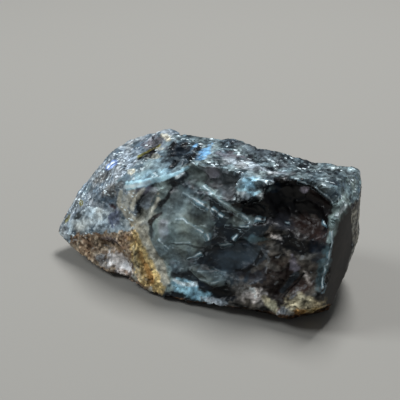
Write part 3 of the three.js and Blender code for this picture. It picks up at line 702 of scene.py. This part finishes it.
def averaged(values, edges):
    """The mean of each point's neighbours."""
    total = np.zeros_like(values)
    for k in range(values.shape[1]):
        for own, other in ((0, 1), (1, 0)):
            total[:, k] += np.bincount(edges[:, own], values[edges[:, other], k], len(values))
    return total / np.bincount(edges.reshape(-1), minlength=len(values))[:, None]


SLOPE_STEP = 0.02
LEAST_STEEP = 0.25
SLIDE = 0.5


def slopes(p, outside):
    """How fast the distance outside the stone grows along X, Y and Z."""
    return np.column_stack([carved(p + SLOPE_STEP * axis)[0] - outside for axis in np.eye(3)]) / SLOPE_STEP


def settled(points, edges):
    """The points moved onto the stone's surface, and slid along it until they are evenly spread."""
    for _ in range(2):
        outside = carved(points)[0]
        slope = slopes(points, outside)
        steep = np.maximum((slope ** 2).sum(axis=1), LEAST_STEEP)[:, None]
        points = points - np.clip(slope * outside[:, None] / steep, -NET_SIZE, NET_SIZE)
        slide = (averaged(points, edges) - points) * SLIDE
        points = points + slide - slope * (slide * slope).sum(axis=1)[:, None] / steep
    outside = carved(points)[0]
    return points - np.clip(slope * outside[:, None] / steep, -NET_SIZE, NET_SIZE)


DIVISIONS = 48
NET_SIZE = 0.215

directions, triangles = geodesic_ball(DIVISIONS)
points, faces, edges = even_net(strike(directions), triangles)
points = settled(points, edges)
surface, lead = carved(points)[1:]


# ---- skins, patches and lines on the net


def linear(name):
    """A named colour in scene-linear values."""
    channels = [int(COLOURS[name][k:k + 2], 16) / 255 for k in (1, 3, 5)]
    return np.array([c / 12.92 if c <= 0.04045 else ((c + 0.055) / 1.055) ** 2.4 for c in channels])


def jumbled(points, seed, *octaves):
    """The points moved about, by (size, height) for each octave, so that what is drawn on them is ragged."""
    shift = np.zeros_like(points)
    for size, height in octaves:
        shift += height * rough_shift(points, size, seed)
    return points + shift


LINE_DEPTH = 2.5
LINE_REACH = 9.0
EDGE_HALF_WIDTH = 0.16
EDGE_FOOT = 6.3
EDGE_TOP = 15.2
PATCH_DEPTH = 2.0
PLATE_SIZE = 3.4


def along_line(points, face, width_start, width_end, strength, *path):
    """How far each point lies to the side of the line, in its half widths, and how strong the line is
    there."""
    out = outward(face)
    lengths = [np.linalg.norm(np.subtract(b, a)) for a, b in zip(path, path[1:])]
    side = np.full(len(points), FAR)
    present = np.zeros(len(points))
    done = 0.0
    for start, end, length in zip(path, path[1:], lengths):
        way = np.subtract(end, start) / length
        from_start = points - start
        share = (from_start @ way) / length
        apart = from_start - np.clip(share, 0, 1)[:, None] * way * length
        level = apart @ out
        flat = apart - level[:, None] * out
        travelled = (done + np.clip(share, 0, 1) * length) / sum(lengths)
        reach = width_start + (width_end - width_start) * travelled
        signed = np.linalg.norm(flat, axis=1) * np.sign(flat @ np.cross(out, way)) / reach
        beyond = np.maximum(np.maximum(-share, share - 1), 0) * length / reach
        closer = (abs(signed) < abs(side)) & (abs(level) < LINE_DEPTH)
        side = np.where(closer, signed, side)
        close_by = (abs(signed) - 1) * reach < 2 * NET_SIZE
        present = np.where(closer, strength * close_by * (1 - smooth_step(0.5, 1.5, beyond)), present)
        done += length
    return side, present


def nearest_line(points, lines):
    """The side and strength, as along_line gives them, of the nearest of the lines."""
    side = np.full(len(points), FAR)
    present = np.zeros(len(points))
    for line in lines:
        own_side, own_present = along_line(points, *line)
        closer = (abs(own_side) < abs(side)) & (own_present > 0)
        side = np.where(closer, own_side, side)
        present = np.where(closer, own_present, present)
    return np.clip(side, -LINE_REACH, LINE_REACH), present


ragged_points = jumbled(points, 21, (1.6, 0.35), (0.5, 0.2))
skin_surface = carved(jumbled(points, 31, (1.4, 0.4), (0.45, 0.2)))[1]

skin_names = list(SKINS)
skin_of = {surface: name for name, row in SKINS.items() for surface in row[5].split()}
skin = np.array([skin_names.index(skin_of.get(name, "black")) for name in SURFACES])[skin_surface]


def on_surface(*names):
    return np.isin(skin_surface, [SURFACES.index(name) for name in names])


def has_skin(*names):
    return np.isin(skin, [skin_names.index(name) for name in names])


# Some skins end at a ragged line within their face: frosted glass shows above the rind and on its tip, and
# grains above that; the low rind at the left of the back stops at a slope; a dull strip edges the glassy
# right end; the upper left is granular towards the left; the right of the front is brown
x, y, z = jumbled(points, 35, (1.4, 0.5), (0.45, 0.25)).T
on_rind = on_surface("rind", "cheek")
for there, name in (
    (on_rind & (z > 4.3 + 0.41 * (x + 21.9)), "frosted"),
    (on_rind & (z > 10.3 + 0.1 * (x + 16)), "shoulder"),
    (on_rind & (x < -22.2), "frosted"),
    (on_surface("leftBackLow") & (z > 4.5 - 0.35 * (y - 3)), "back"),
    (has_skin("rightGlass") & (y > 0.45 + 0.03 * (14 - z)), "strip"),
    (has_skin("facet") & (x < -11.8 + 0.5 * (y - 0.5)), "shoulder"),
    (has_skin("glass") & (x > 10.4 + 0.5 * np.minimum(z - 10.5, 0)), "brown"),
):
    skin[there] = skin_names.index(name)

darkest, lightest = (np.array([linear(row[k]) for row in SKINS.values()])[skin] for k in (0, 1))
grain, sparkle = (np.array([row[k] for row in SKINS.values()])[skin] for k in (2, 3))
plates = 1 - smooth_step(0.3, 0.5, grain)

# The lies of small facets: even, stretched along the crystal, or stretched up to the right across its front
x, y, z = jumbled(points, 38, (1.1, 0.15)).T
LIES = {
    "even": np.column_stack([x, y, z]),
    "level": np.column_stack([0.5 * x, y, z]),
    "slanted": np.column_stack([0.32 * (x + z), y, 0.8 * (z - x)]),
}
lie = np.array([list(LIES).index(row[4]) for row in SKINS.values()])[skin]


def small_facets(size, seed):
    """The tone of the facet of that size at each point, from 0 to 1, and how far it leans out there."""
    tone, lean = np.zeros((2, len(points)))
    for number, stretched in enumerate(LIES.values()):
        here = lie == number
        _, _, from_seed, own = cellular(stretched[here], size, seed + 9 * number)
        tone[here] = own[0]
        lean[here] = (from_seed * (own[1:].T - 0.5)).sum(axis=1)
    return tone, lean


facet_tone, facet_lean = small_facets(1.0, 81)
speck_tone, speck_lean = small_facets(0.55, 111)

clouds = 0.5 * rough(points, 2.6, 41) + 0.35 * rough(points, 1.1, 42) + 0.3 * rough(points, 0.55, 43)
plate_points = jumbled(points, 51, (2.0, 0.5)) * (1, 1, 1.5)
plate_first, plate_second, plate_way, plate_own = cellular(plate_points, PLATE_SIZE, 52)
roughly = smooth_step(0.1, 0.5, grain)
mottle = 0.5 + 0.9 * clouds + roughly * (0.35 * (facet_tone - 0.5) + 0.6 * (speck_tone - 0.5))
mottle = np.clip(mottle + plates * 0.45 * (plate_own[0] - 0.5), 0, 1)
tint = darkest + (lightest - darkest) * mottle[:, None] ** 1.5

ragged_edge = 0.4 * rough(points, 1.1, 74) + 0.35 * rough(points, 0.5, 75) + 0.3 * (facet_tone - 0.5)
line_points = jumbled(points, 77, (1.6, 0.14), (0.7, 0.06))


def paint(mask, colour, grain_there):
    """Cover the tint and the grain with the colour and that grain, by the mask."""
    shade = 1 + (0.4 + 0.6 * grain_there) * (1.3 * mottle - 0.75)
    tint[:] += (linear(colour) * shade[:, None] - tint) * mask[:, None]
    grain[:] += (grain_there - grain) * mask


for face, middle, turn, half_length, half_width, colour, strength, patch_grain, softness in PATCHES:
    oval = oval_frame((face, middle, turn, half_length, half_width, PATCH_DEPTH), 0)
    raggedness = 0.3 + 2.5 * softness
    radius = oval_radius(points + (ragged_points - points) * raggedness, oval) + ragged_edge * raggedness
    paint(strength * (1 - smooth_step(1 - softness, 1 + softness, radius)), colour, patch_grain)
for face, width_start, width_end, colour, strength, stroke_grain, *path in STROKES:
    side, present = along_line(line_points, face, width_start, width_end, strength, *path)
    paint(present * (1 - smooth_step(0.7, 1.3, abs(side) + 0.5 * ragged_edge)), colour, stroke_grain)
tint *= 1 + 0.12 * rough(points, 2.3, 91)[:, None] * (1.0, 0.0, -1.0)

broken = smooth_step(-0.5, -0.1, rough(points, 0.8, 78))
vein, vein_strength = nearest_line(line_points, VEINS)
crack, crack_strength = nearest_line(line_points, CRACKS)

# A jagged pale line follows the edge between the front and the glassy right end
edge_points = jumbled(points, 97, (1.8, 0.4), (0.7, 0.15))
outside_front, outside_end = (
    edge_points @ outward(name) - face_offsets[list(FACES).index(name)] for name in ("front", "rightGlass")
)
from_edge = (outside_front - outside_end) / EDGE_HALF_WIDTH
within_height = (points[:, 2] > EDGE_FOOT) & (points[:, 2] < EDGE_TOP)
on_edge = (abs(from_edge) < LINE_REACH / 3) & (abs(outside_front) < LINE_DEPTH) & within_height
vein = np.where(on_edge, from_edge, vein)
vein_strength = np.where(on_edge, 1.0, vein_strength)
# The painted glints gather in clusters, stretched along the crystal
sparkle = sparkle * (0.15 + 1.6 * smooth_step(-0.1, 0.45, rough(points * (0.6, 1, 1), 1.8, 79)))
dim = has_skin("dark", "black", "rightGlass", "smoky")
seam = (plate_second - plate_first) * PLATE_SIZE + (1 - plates) + dim
seam = seam + 0.6 * smooth_step(0.15, -0.1, rough(points, 1.7, 67))
# Near the edges between surfaces: pale rims with a painted highlight along the edges, and chips in the relief
rim = lead + 0.4 * smooth_step(0.15, -0.15, rough(points, 0.9, 68)) + 0.2 * (grain > 0.5) + 0.05 * dim

# ---- fine relief

# Heights: facets lean and stand in steps, glass breaks in shells, edges are chipped
LEAN = 0.36
STEP = 0.06
CRUMB_HEIGHT = 0.08
WAVE_HEIGHT = 0.25
SHELL_DEPTH = 0.5
SHELL_STEP = 0.1
SHELL_LEAN = 0.12
CHIP_DEPTH = 0.15
SHARP_ANGLE = 38

# The upper left is calmer than its skins
CALMER = 0.7

stone = mesh_object("rough_stone", points, faces)
mesh = stone.data
normals = numbers_of(mesh.vertices, "normal", 3)
crumbly = LEAN * facet_lean + LEAN * speck_lean + STEP * (facet_tone - 0.5)
crumbly = crumbly + CRUMB_HEIGHT * rough(points, 0.45, 82)
wavy = WAVE_HEIGHT * np.clip(grain, 0.2, 1) * rough(points, 3.2, 83)
plate_lean = (plate_way * (plate_own[1:].T - 0.5)).sum(axis=1)
shelly = SHELL_DEPTH * plate_first ** 2 + SHELL_STEP * (plate_own[0] - 0.5) + SHELL_LEAN * plate_lean
chips = CHIP_DEPTH * smooth_step(0.3, 0.05, rim) * smooth_step(0, 0.4, rough(points, 0.8, 84))
height = grain * crumbly + wavy + plates * shelly - chips
height[has_skin("shoulder", "facet")] *= CALMER
height[(surface == SURFACES.index("bottom")) | has_skin("rightGlass")] = 0
points = points + normals * height[:, None]
points[:, 2] = np.maximum(points[:, 2], 0)
mesh.vertices.foreach_set("co", (points * MM).reshape(-1))
mesh.update()
mesh.polygons.foreach_set("use_smooth", np.ones(len(mesh.polygons), bool))
mesh.set_sharp_from_angle(angle=radians(SHARP_ANGLE))

colour_data = mesh.attributes.new("tint", "FLOAT_COLOR", "POINT")
colour_data.data.foreach_set("color", np.column_stack([np.clip(tint, 0, 1), np.ones(len(tint))]).reshape(-1))
measures = dict(
    grain=grain, sparkle=sparkle, seam=seam, rim=rim, vein=vein, vein_strength=vein_strength * broken,
    crack=crack, crack_strength=crack_strength,
)
for name, values in measures.items():
    mesh.attributes.new(name, "FLOAT", "POINT").data.foreach_set("value", values)

# ---- material

CRUMB = 0.4
FINE_CRUMB = 0.3
CLOUD = 0.8
WANDER = 0.5
BUMP_DEPTH = 0.12


def principled(name):
    """A new material and its shader."""
    made = bpy.data.materials.new(name)
    made.use_nodes = True
    return made, made.node_tree.nodes["Principled BSDF"]


material, shader = principled("rough_zircon")
tree = material.node_tree
mesh.materials.append(material)


def feed(socket, given):
    """Link another socket to this one, or set its value."""
    if isinstance(given, bpy.types.NodeSocket):
        tree.links.new(given, socket)
    else:
        socket.default_value = given


def feed_named(made, inputs):
    """Feed inputs of a node by their names; its first output."""
    for name, given in inputs.items():
        feed(made.inputs[name], given)
    return made.outputs[0]


def node(kind, *inputs, **settings):
    """A node of that kind, with its first inputs fed; None leaves one alone."""
    made = tree.nodes.new("ShaderNode" + kind)
    for key, value in settings.items():
        setattr(made, key, value)
    for socket, given in zip(made.inputs, inputs):
        if given is not None:
            feed(socket, given)
    return made


def texture(kind, coordinates, size, **levels):
    """A texture with features of that size in millimetres."""
    made = node("Tex" + kind, coordinates)
    feed_named(made, {"Scale": 1 / (size * MM), **levels})
    return made


def maths(operation, *inputs):
    return node("Math", *inputs, operation=operation).outputs[0]


def times(value, factor):
    return maths("MULTIPLY", value, factor)


def vector_maths(operation, *inputs):
    return node("VectorMath", *inputs, operation=operation).outputs[0]


def scaled(vector, factor):
    return feed_named(node("VectorMath", vector, operation="SCALE"), {"Scale": factor})


def attribute(name, output="Fac"):
    return node("Attribute", attribute_name=name).outputs[output]


def ranged(value, *limits, **settings):
    """The value taken from one range to another: two limits before, then two after."""
    return node("MapRange", value, *limits, **settings).outputs[0]


def fading(value, full, none):
    """1 where value is up to full, falling to 0 at none."""
    return ranged(value, full, none, 1.0, 0.0, interpolation_type="SMOOTHSTEP")


def partly(share, factor):
    """1 where the share is 0, and the factor where it is 1."""
    return maths("ADD", 1.0, times(share, maths("SUBTRACT", factor, 1.0)))


def rgba(name):
    return (*linear(name), 1)


def mixed(share, base, colour):
    """The base colour turned to the other one by that share."""
    return node("MixRGB", share, base, colour).outputs[0]


# Crumbs are small cells, each with its own tone and tilt; fine cells carry the painted glints, frost specks
# in the colour
place = node("TexCoord").outputs["Object"]
grain_in = attribute("grain")
crumbs = texture("Voronoi", place, CRUMB)
crumb_tones = node("SeparateColor", crumbs.outputs["Color"])
leaning_place = node("Mapping", place, None, (0.0, radians(-25), 0.0), (0.45, 1.0, 1.0)).outputs[0]
fine = texture("Voronoi", leaning_place, FINE_CRUMB)
fine_tones = node("SeparateColor", fine.outputs["Color"])
cloud = texture("Noise", place, CLOUD, Detail=5).outputs["Fac"]
wander_noise = texture("Noise", place, WANDER, Detail=3).outputs["Fac"]
wander = times(maths("SUBTRACT", wander_noise, 0.5), 1.6)

# Tone: crumbs on the rough faces, clouds everywhere
crumb_shade = ranged(maths("POWER", crumb_tones.outputs["Red"], 1.6), 0.0, 1.0, 0.5, 1.75)
cloudiness = ranged(grain_in, 0.0, 0.2, 0.55, 1.0)
tone = times(partly(grain_in, crumb_shade), partly(cloudiness, ranged(cloud, 0.3, 0.7, 0.6, 1.4)))
base = scaled(attribute("tint", "Color"), tone)

# Thin pale seams, and pale chipped rims with a painted highlight along the edges, then veins and cracks, each
# as wide as its attribute says; the veins take in a painted rim highlight and the cracks painted shadow
# lines, and last come the painted glints
crack_side = maths("ABSOLUTE", maths("ADD", attribute("crack"), wander))
vein_side = maths("ABSOLUTE", maths("ADD", attribute("vein"), wander))
beads = ranged(crumb_tones.outputs["Green"], 0.0, 0.6, 0.45, 1.0)
vein_core = times(fading(vein_side, 0.4, 1.2), beads)
vein_halo = times(fading(vein_side, 0.8, 2.4), 0.3)
vein_share = times(maths("MAXIMUM", vein_core, vein_halo), attribute("vein_strength"))
# Painted glints: frost-coloured specks in the fine cells, standing in for flashes of light
glint_reach = times(maths("POWER", fine_tones.outputs["Green"], 3.0), 0.75)
glint = fading(maths("SUBTRACT", fine.outputs["Distance"], glint_reach), -0.15, 0.0)
for share, colour in (
    (times(fading(attribute("seam"), 0.03, 0.13), 0.15), rgba("silver")),
    (times(fading(attribute("rim"), 0.02, 0.12), 0.25), rgba("silver")),
    (times(fading(crack_side, 0.6, 1.1), attribute("crack_strength")), rgba("ink")),
    (vein_share, mixed(fading(vein_side, 0.3, 1.0), rgba("sky"), rgba("frost"))),
    (maths("MINIMUM", times(glint, attribute("sparkle")), 0.9), rgba("frost")),
):
    base = mixed(share, base, colour)

# Every crumb is a little facet with its own tilt, so that some of them flash
tilt = scaled(vector_maths("SUBTRACT", crumbs.outputs["Color"], (0.5, 0.5, 0.5)), times(grain_in, 0.9))
leaning = vector_maths("NORMALIZE", vector_maths("ADD", node("NewGeometry").outputs["Normal"], tilt))
bump_strength = maths("ADD", 0.1, times(grain_in, 0.6))
bump = {"Strength": bump_strength, "Distance": BUMP_DEPTH * MM, "Height": cloud, "Normal": leaning}
clear = ranged(grain_in, 0.05, 0.3, 0.18, 0.0)
feed_named(shader, {
    "Base Color": base,
    "Roughness": ranged(grain_in, 0.0, 1.0, 0.34, 0.45),
    "IOR": 1.95,
    "Specular IOR Level": 0.025,
    "Transmission Weight": times(clear, maths("SUBTRACT", 1.0, vein_share)),
    "Normal": feed_named(node("Bump"), bump),
})

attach(stone, "root")
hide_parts(NODE)

# ---- floor, light, camera

FLOOR_HALF = 1.2
floor_corners = FLOOR_HALF * np.array([(-1, -1, 0), (1, -1, 0), (1, 1, 0), (-1, 1, 0)])
floor = mesh_object("floor", floor_corners, np.array([(0, 1, 2, 3)]))
floor_material, floor_shader = principled("pale_floor")
feed_named(floor_shader, {"Base Color": (0.31, 0.293, 0.265, 1), "Roughness": 0.8})
floor.data.materials.append(floor_material)

world = bpy.data.worlds.new("studio")
world.use_nodes = True
feed_named(world.node_tree.nodes["Background"], {"Color": (0.75, 0.82, 0.9, 1), "Strength": 0.15})
bpy.context.scene.world = world
bpy.context.scene.view_settings.view_transform = "Standard"


def aimed(name, data, azimuth, rise, distance, target):
    """An object that faces the target, from that side of it and that many metres away."""
    made = bpy.data.objects.new(name, data)
    made.location = target + Vector(heading(azimuth, rise)) * distance
    made.rotation_mode = "QUATERNION"
    made.rotation_quaternion = (target - made.location).to_track_quat("-Z", "Y")
    bpy.context.scene.collection.objects.link(made)
    return made


def area_light(name, azimuth, rise, distance, size, watts, colour):
    """A soft square light on the stone."""
    data = bpy.data.lights.new(name, "AREA")
    data.size = size
    data.energy = watts
    data.color = colour
    return aimed(name, data, azimuth, rise, distance, Vector((0, 0, 0.01)))


area_light("window", 85, 66, 0.5, 0.16, 2.6, (0.94, 0.97, 1.0))
area_light("left_sky", 195, 42, 0.5, 0.16, 1.2, (0.9, 0.96, 1.0))
fill = area_light("front_fill", -75, 72, 0.6, 0.3, 1.1, (0.98, 0.99, 1.0))

# The fill only lifts the stone itself: the shadow at its foot stays deep
lifted = bpy.data.collections.new("lifted")
lifted.objects.link(stone)
fill.light_linking.receiver_collection = lifted

CAMERA_AZIMUTH = -68
CAMERA_RISE = 30
CAMERA_DISTANCE = 112
LOOK_AT = (-1.5, 0, 13)
camera_data = bpy.data.cameras.new("camera")
camera_data.sensor_width = 36
camera_data.lens = 67.5
camera_data.clip_start = 0.005
camera = aimed("camera", camera_data, CAMERA_AZIMUTH, CAMERA_RISE, CAMERA_DISTANCE * MM, Vector(LOOK_AT) * MM)
bpy.context.scene.camera = camera
